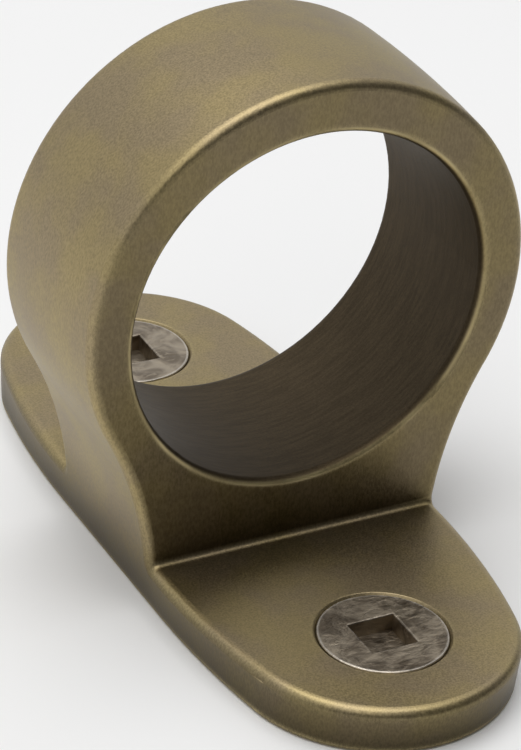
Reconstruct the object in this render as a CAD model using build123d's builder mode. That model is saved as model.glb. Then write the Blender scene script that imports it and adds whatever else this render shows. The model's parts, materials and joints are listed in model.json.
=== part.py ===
from build123d import *
import os
from math import atan, cos, degrees, radians, sin, tan

# A cast brass eye on an oval screw plate, with its two countersunk wood screws.
# Frame: the origin is the centre of the plate's underside, +Z points away from
# the wall or deck, and the eye's bore and the plate's long side run along Y.
# All sizes are in millimetres.

# ---- Driving dimensions ----

# Plate: an oval with nearly straight flanks and round ends
PLATE_LENGTH = 50.1           # length and width are at the underside
PLATE_WIDTH = 19.1
PLATE_THICKNESS = 3.2
PLATE_END_RADIUS = 8.8
PLATE_DRAFT = 8.0             # degrees; the sides widen slightly towards the top

# Ring: a wide band whose bore sits a little low in it
RING_WIDTH = 12.1             # along the bore
RING_OUTER_RADIUS = 14.8
RING_CENTRE_Z = 19.5
RING_CROWN = 0.2              # how far the band's middle stands proud of its rims
BORE_RADIUS = 11.7
BORE_CENTRE_Z = 19.1

# Edge radii
OUTER_EDGE = 0.6
BORE_EDGE = 0.5
CREASE = 0.4
UNDERSIDE_EDGE = 0.3
SINK_EDGE = 0.08

# Screws: No. 8 countersunk wood screws, one inch long, with a square recess
SCREW_SPACING = 34.9
SINK_RADIUS = 4.2            # mouth of the plate's countersink
SINK_ANGLE = 82.0             # degrees, included
CLEARANCE_HOLE_RADIUS = 2.4
HEAD_RADIUS = 4.0
HEAD_RIM = 0.12               # straight band round the top of the head
HEAD_BELOW_FACE = 0.04
HEAD_EDGE = 0.1
UNDER_HEAD_RADIUS = 2.25       # tapers to the shank just above the plate's underside
SHANK_RADIUS = 2.05
SHANK_TOP_Z = 0.05
SCREW_LENGTH = 25.4
PLAIN_LENGTH = 9.0            # head and plain shank, down to the first thread
POINT_LENGTH = 4.0
DRIVE_SIDE = 3.1
DRIVE_DEPTH = 1.1
DRIVE_TAPER = 2.0             # degrees

# Thread: cut below the shank's own size, so that the screw draws out of its hole
ROOT_RADIUS = 1.45
THREAD_PITCH = 1.7
THREAD_HEIGHT = 0.55
THREAD_CREST = 0.12           # width of the ridge's flat crest
THREAD_FLANK = 28.0           # degrees, slope of each side of the ridge
THREAD_BITE = 0.25            # how deep the ridge is sunk in the root
POINT_TURNS = 2               # turns of thread on the tapered point

TINY = 0.01                   # slack for picking edges and faces by place

# ---- Worked out from them ----

HALF_RING = RING_WIDTH / 2
TOP_SPREAD = PLATE_THICKNESS * tan(radians(PLATE_DRAFT))
FOOT_Z = PLATE_THICKNESS + CREASE + OUTER_EDGE
FOOT_X = PLATE_WIDTH / 2 + FOOT_Z * tan(radians(PLATE_DRAFT))
FLANK_HALF_LENGTH = HALF_RING + CREASE + OUTER_EDGE
SCREW_CENTRES = [(0, -SCREW_SPACING / 2), (0, SCREW_SPACING / 2)]
HEAD_TOP = PLATE_THICKNESS - HEAD_BELOW_FACE
HEAD_CONE = (HEAD_RADIUS - UNDER_HEAD_RADIUS) / tan(radians(SINK_ANGLE / 2))
TIP_Z = HEAD_TOP - SCREW_LENGTH
POINT_Z = TIP_Z + POINT_LENGTH
THREAD_TOP_Z = HEAD_TOP - PLAIN_LENGTH


def flank_arc_radius(half_width, half_length, end_radius):
    """Radius of the arc that leaves the straight flank and runs into the end arc."""
    run = half_length - end_radius - FLANK_HALF_LENGTH
    inset = half_width - end_radius
    return end_radius + (run**2 + inset**2) / (2 * inset)


def oval(half_width, half_length, end_radius):
    """Plan of the plate: straight flanks, long flank arcs and round ends."""
    big = flank_arc_radius(half_width, half_length, end_radius)
    centre_x = half_width - big
    end_y = half_length - end_radius
    lean = atan((end_y - FLANK_HALF_LENGTH) / -centre_x)
    joint = (end_radius * cos(lean), end_y + end_radius * sin(lean))
    middle = (centre_x + big * cos(lean / 2), FLANK_HALF_LENGTH + big * sin(lean / 2))
    with BuildLine() as quarter:
        Line((half_width, 0), (half_width, FLANK_HALF_LENGTH))
        ThreePointArc((half_width, FLANK_HALF_LENGTH), middle, joint)
        knuckle = radians(45) + lean / 2
        tip = (end_radius * cos(knuckle), end_y + end_radius * sin(knuckle))
        ThreePointArc(joint, tip, (0, half_length))
        mirror(about=Plane.YZ)
        mirror(about=Plane.XZ)
    return quarter.line


def eye_outline(outer_radius):
    """Ring and neck seen along the bore. The neck leaves the foot at the plate's
    own draft and sweeps up in one arc that meets the ring tangentially."""
    draft = radians(PLATE_DRAFT)
    rise = RING_CENTRE_Z - FOOT_Z
    neck_radius = (FOOT_X**2 + rise**2 - outer_radius**2) / (
        2 * (outer_radius - FOOT_X * cos(draft) - rise * sin(draft))
    )
    neck_x = FOOT_X + neck_radius * cos(draft)
    neck_z = FOOT_Z - neck_radius * sin(draft)
    dip = atan((RING_CENTRE_Z - neck_z) / neck_x)
    halfway = (draft + dip) / 2
    neck_middle = (neck_x - neck_radius * cos(halfway), neck_z + neck_radius * sin(halfway))
    meeting = (outer_radius * cos(dip), RING_CENTRE_Z - outer_radius * sin(dip))
    shoulder = (outer_radius * cos(dip), RING_CENTRE_Z + outer_radius * sin(dip))
    with BuildLine() as outline:
        Line((0, FOOT_Z), (FOOT_X, FOOT_Z))
        ThreePointArc((FOOT_X, FOOT_Z), neck_middle, meeting)
        ThreePointArc(meeting, shoulder, (0, RING_CENTRE_Z + outer_radius))
        mirror(about=Plane.YZ)
    return outline.line


# ---- The eye: plate, neck and ring in one casting ----

with BuildPart() as eye_body:
    for height, spread in ((0, 0), (PLATE_THICKNESS, TOP_SPREAD)):
        with BuildSketch(Plane.XY.offset(height)):
            with BuildLine():
                add(oval(PLATE_WIDTH / 2 + spread, PLATE_LENGTH / 2 + spread, PLATE_END_RADIUS))
            make_face()
    loft(ruled=True)

    with BuildSketch(Plane.XZ):
        with BuildLine():
            Polyline((0, 0), (PLATE_WIDTH / 2, 0), (FOOT_X, FOOT_Z), (0, FOOT_Z))
            mirror(about=Plane.YZ)
        make_face()
    extrude(amount=HALF_RING, both=True)

    for station, inset in ((-HALF_RING, RING_CROWN), (0, 0), (HALF_RING, RING_CROWN)):
        with BuildSketch(Plane.XZ.offset(-station)):
            with BuildLine():
                add(eye_outline(RING_OUTER_RADIUS - inset))
            make_face()
    loft()

    def crease_lines():
        """Straight edges across the plate at the feet of the ring's two faces."""
        return (
            eye_body.edges()
            .filter_by_position(Axis.X, -TINY, TINY)
            .filter_by_position(Axis.Y, -HALF_RING - CREASE - TINY, HALF_RING + CREASE + TINY)
            .filter_by_position(Axis.Z, PLATE_THICKNESS - TINY, PLATE_THICKNESS + CREASE + TINY)
        )

    fillet(crease_lines(), CREASE)

    # one rounded edge runs up the neck, over the ring and round the plate's top
    ring_faces = eye_body.faces().filter_by(Axis.Y)
    plate_top = eye_body.faces().filter_by(Axis.Z).filter_by_position(Axis.Z, TINY, RING_CENTRE_Z)
    crease_faces = eye_body.faces().filter_by_position(Axis.X, -TINY, TINY).filter_by_position(
        Axis.Z, PLATE_THICKNESS + TINY, PLATE_THICKNESS + CREASE
    )
    rims = (ring_faces + plate_top + crease_faces).edges() - crease_lines()
    fillet(rims, OUTER_EDGE)

    with BuildSketch(Plane.XZ):
        with Locations((0, BORE_CENTRE_Z)):
            Circle(BORE_RADIUS)
    extrude(amount=RING_WIDTH, both=True, mode=Mode.SUBTRACT)
    bore_rims = eye_body.edges().filter_by(GeomType.CIRCLE).filter_by_position(
        Axis.Z, BORE_CENTRE_Z - TINY, BORE_CENTRE_Z + TINY
    )
    fillet(bore_rims, BORE_EDGE)

    underside = eye_body.faces().sort_by(Axis.Z)[0]
    fillet(underside.edges(), UNDERSIDE_EDGE)

    with Locations(*[(x, y, PLATE_THICKNESS) for x, y in SCREW_CENTRES]):
        CounterSinkHole(CLEARANCE_HOLE_RADIUS, SINK_RADIUS, counter_sink_angle=SINK_ANGLE)
    sink_mouths = eye_body.edges().filter_by(GeomType.CIRCLE).filter_by(
        lambda edge: abs(edge.radius - SINK_RADIUS) < TINY
    )
    fillet(sink_mouths, SINK_EDGE)


eye_body.part.label = "eye_body"

# ---- The screws: countersunk head, square recess, plain shank, thread, point ----


def thread_ridge(start_z, length, start_radius, opening=0.0):
    """A helical ridge climbing from start_z. opening is the half angle, in degrees,
    at which the helix widens along the tapered point."""
    half_crest = THREAD_CREST / 2
    half_foot = half_crest + THREAD_HEIGHT * tan(radians(THREAD_FLANK))
    with BuildPart() as ridge:
        with BuildLine() as path:
            Helix(THREAD_PITCH, length, start_radius, center=(0, 0, start_z), cone_angle=opening)
        with BuildSketch(Plane(origin=path.line @ 0, x_dir=(1, 0, 0), z_dir=(0, -1, 0))):
            with BuildLine():
                Polyline(
                    (-THREAD_BITE, -half_foot),
                    (0, -half_foot),
                    (THREAD_HEIGHT, -half_crest),
                    (THREAD_HEIGHT, half_crest),
                    (0, half_foot),
                    (-THREAD_BITE, half_foot),
                    close=True,
                )
            make_face()
        sweep(is_frenet=True)
    return ridge.part


point_rise = POINT_TURNS * THREAD_PITCH
point_start_radius = ROOT_RADIUS * (POINT_LENGTH - point_rise) / POINT_LENGTH
shank_thread = thread_ridge(POINT_Z, THREAD_TOP_Z - POINT_Z - THREAD_PITCH / 3, ROOT_RADIUS - 2 * TINY)
point_thread = thread_ridge(
    POINT_Z - point_rise, point_rise, point_start_radius, degrees(atan(ROOT_RADIUS / POINT_LENGTH))
)

with BuildPart() as screw:
    with BuildSketch(Plane.XZ):
        with BuildLine():
            Polyline(
                (0, HEAD_TOP),
                (HEAD_RADIUS, HEAD_TOP),
                (HEAD_RADIUS, HEAD_TOP - HEAD_RIM),
                (UNDER_HEAD_RADIUS, HEAD_TOP - HEAD_RIM - HEAD_CONE),
                (SHANK_RADIUS, SHANK_TOP_Z),
                (SHANK_RADIUS, THREAD_TOP_Z),
                (ROOT_RADIUS, THREAD_TOP_Z),
                (ROOT_RADIUS, POINT_Z),
                (0, TIP_Z),
                close=True,
            )
        make_face()
    revolve(axis=Axis.Z)
    add(shank_thread)
    add(point_thread)
    with BuildSketch(Plane.XY.offset(HEAD_TOP)):
        Rectangle(DRIVE_SIDE, DRIVE_SIDE)
    extrude(amount=-DRIVE_DEPTH, taper=DRIVE_TAPER, mode=Mode.SUBTRACT)
    fillet(screw.faces().sort_by(Axis.Z)[-1].edges(), HEAD_EDGE)

# ---- One file per piece ----

os.makedirs("parts", exist_ok=True)
export_step(eye_body.part, "parts/eye_body.step")
for name, (x, y) in zip(("screw_front", "screw_rear"), SCREW_CENTRES):
    placed_screw = screw.part.moved(Location((x, y, 0)))
    placed_screw.label = name
    export_step(placed_screw, f"parts/{name}.step")
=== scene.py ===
"""An aged brass pad eye on a pale floor: materials, floor, lights and camera.

Everything is in metres in the part's own frame: the plate's underside is at z = 0,
and its long side and the ring's bore run along Y. The materials' lengths are in
millimetres, and their noise scales in cells per millimetre.
"""

import json
import math

import bpy
from mathutils import Matrix, Vector

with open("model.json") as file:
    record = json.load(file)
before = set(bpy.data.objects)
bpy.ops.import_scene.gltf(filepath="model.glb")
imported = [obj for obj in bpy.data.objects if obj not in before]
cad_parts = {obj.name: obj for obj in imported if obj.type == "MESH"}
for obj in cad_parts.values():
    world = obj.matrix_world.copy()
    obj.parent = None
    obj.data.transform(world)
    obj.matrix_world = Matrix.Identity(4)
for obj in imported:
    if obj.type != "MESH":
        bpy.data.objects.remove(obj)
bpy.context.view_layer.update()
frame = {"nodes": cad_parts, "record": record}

# ---- Driving values ----

MM = 0.001

# Camera: angles in degrees, lengths in metres
VIEW_AZIMUTH = -29.54
VIEW_ELEVATION = 31.2
VIEW_ROLL = 4.2
VIEW_DISTANCE = 0.2385
VIEW_TARGET = Vector((1.49, 2.17, 9.62)) * MM
IMAGE_HEIGHT = 750
FOCAL_IN_PIXELS = 3815
SENSOR = 36.0
CLIP_START = 0.01

# Floor and lights
FLOOR_HALF_SIDE = 1.5
FLOOR_COLOUR = (0.9, 0.9, 0.9, 1)
FLOOR_ROUGHNESS = 0.9
LIGHT_AIM = Vector((0, 0, 12)) * MM

# The studio's walls: a dome that is bright behind the object and dim in front of it
DOME_BRIGHT_SIDE = (-0.35, 0.9, 0.35)
DOME_COLOUR = (0.97, 0.98, 1.0, 1)
DOME_EDGES = (-0.4, 0.4)
DOME_STRENGTHS = (0.05, 0.76)

# Softboxes: name, place, side, radiance and colour
SOFTBOXES = (
    ("overhead", (-0.05, 0.01, 0.6), 0.5, 2.6, (1.0, 0.99, 0.97)),
    ("front_left", (-0.25, -0.35, 0.4), 0.25, 1.5, (1.0, 0.98, 0.94)),
)

# Brass: colours and finish
BRASS_GOLD = (0.355, 0.282, 0.142, 1)
BRASS_BROWN = (0.315, 0.250, 0.150, 1)
# Patina and painted shade in sheltered places, and painted shade on the end faces and low
# sides
BRASS_PATINA_AND_SHADE = (0.030, 0.023, 0.011, 1)
# Worn metal and painted highlight on the edges, and painted highlight round the bore's rim
BRASS_WORN_AND_HIGHLIGHT = (0.66, 0.55, 0.29, 1)
BRASS_ROUGHNESS = (0.40, 0.48)
# The bore's wall, painted dark brown as shade
BORE_SHADE_BROWN = (0.078, 0.058, 0.034, 1)
BORE_ADDED_ROUGHNESS = 0.12

# Brass: broad clouds of colour, a fine brushed grain, and turning lines in the bore
CLOUD_SCALE = 0.22
CLOUD_BAND = (0.35, 0.65)
CLOUD_DEPTH = 0.015
GRAIN_SCALE = 8.5
GRAIN_STRETCH = (1, 1, 0.45)
GRAIN_SHADES = (0.79, 1.17)
GRAIN_DEPTH = 0.008
TURNING_SCALE = 4.0
TURNING_STRETCH = (0.12, 1, 0.12)
TURNING_SHADES = (0.86, 1.14)

# Brass: patina and painted shade, which are thickest where neighbouring metal stands within
# reach
PATINA_AND_SHADE_REACH = 16.0
PATINA_AND_SHADE_OPENNESS = (0.28, 0.85)
PATINA_AND_SHADE_MOST = 0.95
PATINA_AND_SHADE_CLOUD = 0.04
END_FACE_SLOPES = (0.7, 0.98)
# Painted shade on the end faces, which lowers their openness and adds a least amount of
# darkening
END_FACE_SHADE_OFFSET = 0.12
END_FACE_SHADE = 0.42
# Painted shade at the foot of the upright sides, fading out with height
SIDE_SLOPES = (0.3, 0.9)
SIDE_HEIGHT = 7.0
LOW_SIDE_SHADE = 0.8

# Brass: worn metal and painted highlight on corners, and a painted highlight round the bore,
# measured out from the bore's wall
WEAR_AND_HIGHLIGHT_REACH = 0.8
WEAR_AND_HIGHLIGHT_CORNERS = (0.10, 0.34)
WEAR_AND_HIGHLIGHT_GRAIN_BAND = (0.25, 0.7)
WEAR_AND_HIGHLIGHT_BY_GRAIN = (0.35, 0.8)
BORE_COLOUR_END = (0.05, 0.3)
# A painted highlight round the bore's rim rises and falls across these distances.
RIM_START, RIM_MIDDLE, RIM_END = 0.1, 0.25, 0.5
RIM_HIGHLIGHT = (0.2, 0.75)

# Screws: brown pewter plating, mottled and scuffed
PEWTER_LIGHT = (0.40, 0.34, 0.26, 1)
PEWTER_DARK = (0.18, 0.146, 0.107, 1)
# Painted shade for the screw heads' recess
PEWTER_SHADE = (0.12, 0.095, 0.067, 1)
PEWTER_WORN = (0.75, 0.70, 0.62, 1)
PEWTER_ROUGHNESS = (0.30, 0.48)
MOTTLE_SCALE = 0.55
MOTTLE_BAND = (0.35, 0.65)
MOTTLE_DEPTH = 0.08
SCUFF_SCALE = 1.8
SCUFF_STRETCH = (0.55, 1.3, 1)
SCUFF_BAND = (0.52, 0.68)
SCUFF_COVER = 0.7
SCUFF_DEPTH = 0.05
# Painted shade in the recess, darkest where the metal is most sheltered
RECESS_SHADE_REACH = 2.2
RECESS_SHADE_OPENNESS = (0.0, 0.5)
RECESS_SHADE_MOST = 0.9
RUB_REACH = 0.25
RUB_CORNERS = (0.15, 0.45)
RUB_MOST = 0.6

# The part of a noise's 0 to 1 that most of it falls in
NOISE_SPAN = (0.3, 0.7)
WIDE_NOISE_SPAN = (0.25, 0.75)
SHELTER_SAMPLES = 12


# ---- Camera ----


def add_camera():
    """A camera that looks down at the target from the front left, rolled a little."""
    azimuth = math.radians(VIEW_AZIMUTH)
    elevation = math.radians(VIEW_ELEVATION)
    roll = math.radians(VIEW_ROLL)
    back = Vector((
        math.sin(azimuth) * math.cos(elevation),
        -math.cos(azimuth) * math.cos(elevation),
        math.sin(elevation),
    ))
    level_right = Vector((math.cos(azimuth), math.sin(azimuth), 0))
    level_up = back.cross(level_right)
    right = math.cos(roll) * level_right + math.sin(roll) * level_up
    up = math.cos(roll) * level_up - math.sin(roll) * level_right
    turn = Matrix((right, up, back)).transposed().to_4x4()

    data = bpy.data.cameras.new("camera")
    data.sensor_width = SENSOR
    data.lens = FOCAL_IN_PIXELS / IMAGE_HEIGHT * SENSOR
    data.clip_start = CLIP_START
    camera = bpy.data.objects.new("camera", data)
    camera.matrix_world = Matrix.Translation(VIEW_TARGET + back * VIEW_DISTANCE) @ turn
    bpy.context.scene.collection.objects.link(camera)
    bpy.context.scene.camera = camera


# ---- Floor and light ----


def add_floor():
    """A square matt floor under the plate."""
    signs = ((-1, -1), (1, -1), (1, 1), (-1, 1))
    corners = [(x * FLOOR_HALF_SIDE, y * FLOOR_HALF_SIDE, 0) for x, y in signs]
    mesh = bpy.data.meshes.new("floor")
    mesh.from_pydata(corners, [], [(0, 1, 2, 3)])
    floor = bpy.data.objects.new("floor", mesh)
    bpy.context.scene.collection.objects.link(floor)
    material, _, shader = principled("floor_white")
    put(shader.inputs["Base Color"], FLOOR_COLOUR)
    put(shader.inputs["Roughness"], FLOOR_ROUGHNESS)
    mesh.materials.append(material)


def add_softbox(name, place, side, radiance, colour):
    """A square area light that faces the object, given by the brightness of its face."""
    data = bpy.data.lights.new(name, "AREA")
    data.energy = radiance * math.pi * side**2
    data.size = side
    data.color = colour
    light = bpy.data.objects.new(name, data)
    light.location = place
    light.rotation_euler = (LIGHT_AIM - Vector(place)).to_track_quat("-Z", "Y").to_euler()
    bpy.context.scene.collection.objects.link(light)


def add_lighting():
    """The dome, the softboxes and a plain view transform."""
    world = bpy.data.worlds.new("studio")
    bpy.context.scene.world = world
    world.use_nodes = True
    tree = world.node_tree
    direction = tree.nodes.new("ShaderNodeTexCoord").outputs["Generated"]
    bright_side = Vector(DOME_BRIGHT_SIDE).normalized()
    facing = vector_maths(tree, "DOT_PRODUCT", direction, bright_side).outputs["Value"]
    background = tree.nodes["Background"]
    put(background.inputs["Color"], DOME_COLOUR)
    put(background.inputs["Strength"], remap(tree, facing, *DOME_EDGES, *DOME_STRENGTHS))
    for softbox in SOFTBOXES:
        add_softbox(*softbox)
    bpy.context.scene.view_settings.view_transform = "Standard"


# ---- Material building blocks ----


def principled(name):
    """A new material, its node tree and its shader."""
    material = bpy.data.materials.new(name)
    material.use_nodes = True
    tree = material.node_tree
    return material, tree, tree.nodes["Principled BSDF"]


def put(socket, value):
    """Sets a socket from a number, a colour or another node's output."""
    if isinstance(value, bpy.types.NodeSocket):
        socket.id_data.links.new(value, socket)
    else:
        socket.default_value = value


def place_in_mm(tree, stretch=(1, 1, 1)):
    """Object coordinates in millimetres, each axis multiplied by its stretch."""
    coordinate = tree.nodes.new("ShaderNodeTexCoord")
    mapping = tree.nodes.new("ShaderNodeMapping")
    put(mapping.inputs["Scale"], [s / MM for s in stretch])
    put(mapping.inputs["Vector"], coordinate.outputs["Object"])
    return mapping.outputs["Vector"]


def noise(tree, vector, scale, detail=3.0, roughness=0.55, distortion=0.0):
    """Noise from 0 to 1; scale is in cells per millimetre."""
    node = tree.nodes.new("ShaderNodeTexNoise")
    put(node.inputs["Vector"], vector)
    put(node.inputs["Scale"], scale)
    put(node.inputs["Detail"], detail)
    put(node.inputs["Roughness"], roughness)
    put(node.inputs["Distortion"], distortion)
    return node.outputs["Fac"]


def remap(tree, value, low, high, out_low=0.0, out_high=1.0):
    """A smooth step: low and high are sent to out_low and out_high."""
    node = tree.nodes.new("ShaderNodeMapRange")
    node.interpolation_type = "SMOOTHSTEP"
    put(node.inputs["Value"], value)
    put(node.inputs["From Min"], low)
    put(node.inputs["From Max"], high)
    put(node.inputs["To Min"], out_low)
    put(node.inputs["To Max"], out_high)
    return node.outputs["Result"]


def maths(tree, operation, a, b=0.0):
    """A number worked out from one or two others."""
    node = tree.nodes.new("ShaderNodeMath")
    node.operation = operation
    put(node.inputs[0], a)
    put(node.inputs[1], b)
    return node.outputs[0]


def times(tree, a, b):
    """The product of two numbers."""
    return maths(tree, "MULTIPLY", a, b)


def vector_maths(tree, operation, a, b=None):
    """A vector node; the caller picks its Vector or Value output."""
    node = tree.nodes.new("ShaderNodeVectorMath")
    node.operation = operation
    put(node.inputs[0], a)
    if b is not None:
        put(node.inputs[1], b)
    return node


def blend(tree, factor, a, b, how="MIX"):
    """Colour a turned into colour b, or into how(a, b), by factor."""
    node = tree.nodes.new("ShaderNodeMix")
    node.data_type = "RGBA"
    node.blend_type = how
    put(node.inputs[0], factor)
    put(node.inputs[6], a)
    put(node.inputs[7], b)
    return node.outputs[2]


def openness(tree, reach, inside=False):
    """1 where nothing stands within reach, less in sheltered places. Looking inside
    the metal instead, it falls below 1 at outward corners."""
    node = tree.nodes.new("ShaderNodeAmbientOcclusion")
    node.samples = SHELTER_SAMPLES
    node.inside = inside
    node.only_local = True
    put(node.inputs["Distance"], reach * MM)
    return node.outputs["AO"]


def cornerness(tree, reach):
    """0 on flat metal, more at outward corners."""
    return maths(tree, "SUBTRACT", 1.0, openness(tree, reach, inside=True))


def bump(tree, height, depth, normal=None):
    """A bump whose height of 1 stands depth millimetres tall."""
    node = tree.nodes.new("ShaderNodeBump")
    put(node.inputs["Strength"], 1.0)
    put(node.inputs["Distance"], depth * MM)
    put(node.inputs["Height"], height)
    if normal is not None:
        put(node.inputs["Normal"], normal)
    return node.outputs["Normal"]


def part_of(tree, vector, axis):
    """One axis of a vector."""
    node = tree.nodes.new("ShaderNodeSeparateXYZ")
    put(node.inputs[0], vector)
    return node.outputs[axis]


def steepness(tree, axis):
    """How squarely the surface faces along an axis, from 0 to 1."""
    normal = tree.nodes.new("ShaderNodeNewGeometry").outputs["Normal"]
    return maths(tree, "ABSOLUTE", part_of(tree, normal, axis))


# ---- Brass ----


def distance_from_bore_axis(tree, place):
    """Distance from the axis of the ring's bore, which runs along Y, and its radius."""
    eye = next(mount for mount in frame["record"]["mounts"] if mount["name"] == "eye")
    centre = Vector(eye["pos_m"]) / MM
    offset = vector_maths(tree, "SUBTRACT", place, centre).outputs["Vector"]
    across = vector_maths(tree, "MULTIPLY", offset, (1, 0, 1)).outputs["Vector"]
    distance = vector_maths(tree, "LENGTH", across).outputs["Value"]
    return distance, eye["dims"]["r_mm"]


def bore_and_rim(tree, place):
    """Masks of the bore's wall and of the rounded rim round it."""
    distance, radius = distance_from_bore_axis(tree, place)
    wall_end, colour_end = (radius + step for step in BORE_COLOUR_END)
    in_bore = remap(tree, distance, wall_end, colour_end, 1.0, 0.0)
    rise = remap(tree, distance, radius + RIM_START, radius + RIM_MIDDLE)
    fall = remap(tree, distance, radius + RIM_MIDDLE, radius + RIM_END)
    return in_bore, maths(tree, "SUBTRACT", rise, fall)


def low_side(tree, place):
    """1 at the foot of the upright sides, 0 on level faces and higher up."""
    upright = remap(tree, steepness(tree, "Z"), *SIDE_SLOPES, 1.0, 0.0)
    low = remap(tree, part_of(tree, place, "Z"), 0.0, SIDE_HEIGHT, 1.0, 0.0)
    return times(tree, upright, low)


def patina_and_shade_amount(tree, place, cloud):
    """Tarnish and painted shade, thick in sheltered places, and painted shade on the end
    faces and low sides everywhere.
    """
    end_face = remap(tree, steepness(tree, "Y"), *END_FACE_SLOPES)
    drift = remap(tree, cloud, *NOISE_SPAN, -PATINA_AND_SHADE_CLOUD, PATINA_AND_SHADE_CLOUD)
    exposure = maths(tree, "ADD", openness(tree, PATINA_AND_SHADE_REACH), drift)
    # The end faces get painted shade: a lower openness here and a least amount below.
    exposure = maths(tree, "SUBTRACT", exposure, times(tree, end_face, END_FACE_SHADE_OFFSET))
    darkening = remap(tree, exposure, *PATINA_AND_SHADE_OPENNESS, PATINA_AND_SHADE_MOST, 0.0)
    # Painted shade at the foot of the upright sides and on the end faces, at least this much
    # everywhere.
    for extra in (
        times(tree, low_side(tree, place), LOW_SIDE_SHADE),
        times(tree, end_face, END_FACE_SHADE),
    ):
        darkening = maths(tree, "MAXIMUM", darkening, extra)
    return darkening


def wear_and_highlight_amount(tree, cloud, grain, in_bore, on_rim):
    """Worn metal and painted highlight on outward corners and, in patches, a painted
    highlight round the bore's rim.
    """
    by_grain = remap(tree, grain, *WEAR_AND_HIGHLIGHT_GRAIN_BAND, *WEAR_AND_HIGHLIGHT_BY_GRAIN)
    corners = times(tree, remap(tree, cornerness(tree, WEAR_AND_HIGHLIGHT_REACH), *WEAR_AND_HIGHLIGHT_CORNERS), by_grain)
    corners = times(tree, corners, remap(tree, in_bore, 0, 1, 1, 0))
    # A painted highlight round the bore's rim, in patches.
    rim = times(tree, on_rim, remap(tree, cloud, *CLOUD_BAND, *RIM_HIGHLIGHT))
    return maths(tree, "MAXIMUM", corners, rim)


def aged_brass():
    """Brushed brass, darkened by tarnish and painted shade in sheltered places, with painted
    shade on the end faces and low sides, worn metal and painted highlight on the edges, a
    painted highlight round the bore's rim, and a rougher bore painted dark brown as shade,
    with faint turning lines."""
    material, tree, shader = principled("aged_brass")
    place = place_in_mm(tree)
    grain_place = place_in_mm(tree, GRAIN_STRETCH)
    turning_place = place_in_mm(tree, TURNING_STRETCH)
    cloud = noise(tree, place, CLOUD_SCALE, detail=2.0)
    grain = noise(tree, grain_place, GRAIN_SCALE, detail=2.0, roughness=0.6)
    turning = noise(tree, turning_place, TURNING_SCALE, roughness=0.65)
    in_bore, on_rim = bore_and_rim(tree, place)

    colour = blend(tree, remap(tree, cloud, *CLOUD_BAND), BRASS_GOLD, BRASS_BROWN)
    # Patina and painted shade darken the sheltered places; painted shade also darkens the
    # end faces and the low sides.
    colour = blend(tree, patina_and_shade_amount(tree, place, cloud), colour, BRASS_PATINA_AND_SHADE)
    lines = remap(tree, turning, *NOISE_SPAN, *TURNING_SHADES)
    # The bore's wall is painted dark brown as shade, with faint turning lines.
    colour = blend(tree, in_bore, colour, blend(tree, 1.0, BORE_SHADE_BROWN, lines, "MULTIPLY"))
    brushing = remap(tree, grain, *WIDE_NOISE_SPAN, *GRAIN_SHADES)
    colour = blend(tree, 1.0, colour, brushing, "MULTIPLY")
    wear_and_highlight = wear_and_highlight_amount(tree, cloud, grain, in_bore, on_rim)
    # Worn metal and painted highlight on the outward corners, and a painted highlight round
    # the bore's rim.
    colour = blend(tree, wear_and_highlight, colour, BRASS_WORN_AND_HIGHLIGHT)

    put(shader.inputs["Metallic"], 1.0)
    put(shader.inputs["Base Color"], colour)
    satin = remap(tree, grain, *NOISE_SPAN, *BRASS_ROUGHNESS)
    rougher = times(tree, in_bore, BORE_ADDED_ROUGHNESS)
    put(shader.inputs["Roughness"], maths(tree, "ADD", satin, rougher))
    clouded = bump(tree, cloud, CLOUD_DEPTH)
    put(shader.inputs["Normal"], bump(tree, grain, GRAIN_DEPTH, clouded))
    return material


# ---- Screws ----


def screw_metal():
    """Scuffed brown pewter plating, with painted shade in the recess, and bright along the
    rim.
    """
    material, tree, shader = principled("screw_metal")
    place = place_in_mm(tree)
    scuff_place = place_in_mm(tree, SCUFF_STRETCH)
    mottle = noise(tree, place, MOTTLE_SCALE, distortion=0.6)
    scuff = noise(tree, scuff_place, SCUFF_SCALE, detail=4.0, roughness=0.6, distortion=0.8)

    colour = blend(tree, remap(tree, mottle, *MOTTLE_BAND), PEWTER_LIGHT, PEWTER_DARK)
    scuffed = remap(tree, scuff, *SCUFF_BAND, 0.0, SCUFF_COVER)
    colour = blend(tree, scuffed, colour, PEWTER_LIGHT)
    # Painted shade in the recess, darkest where the metal is most sheltered.
    recess_shade = remap(tree, openness(tree, RECESS_SHADE_REACH), *RECESS_SHADE_OPENNESS, RECESS_SHADE_MOST, 0.0)
    colour = blend(tree, recess_shade, colour, PEWTER_SHADE)
    rubbed = remap(tree, cornerness(tree, RUB_REACH), *RUB_CORNERS, 0.0, RUB_MOST)
    colour = blend(tree, rubbed, colour, PEWTER_WORN)

    put(shader.inputs["Metallic"], 1.0)
    put(shader.inputs["Base Color"], colour)
    put(shader.inputs["Roughness"], remap(tree, scuff, *NOISE_SPAN, *PEWTER_ROUGHNESS))
    mottled = bump(tree, mottle, MOTTLE_DEPTH)
    put(shader.inputs["Normal"], bump(tree, scuff, SCUFF_DEPTH, mottled))
    return material


def dress_nodes():
    """Gives each CAD node its material. The two screws share one."""
    screw_look = screw_metal()
    looks = {"eye_body": aged_brass(), "screw_front": screw_look, "screw_rear": screw_look}
    for name, material in looks.items():
        node = frame["nodes"][name]
        node.data.materials.clear()
        node.data.materials.append(material)


add_camera()
add_floor()
add_lighting()
dress_nodes()
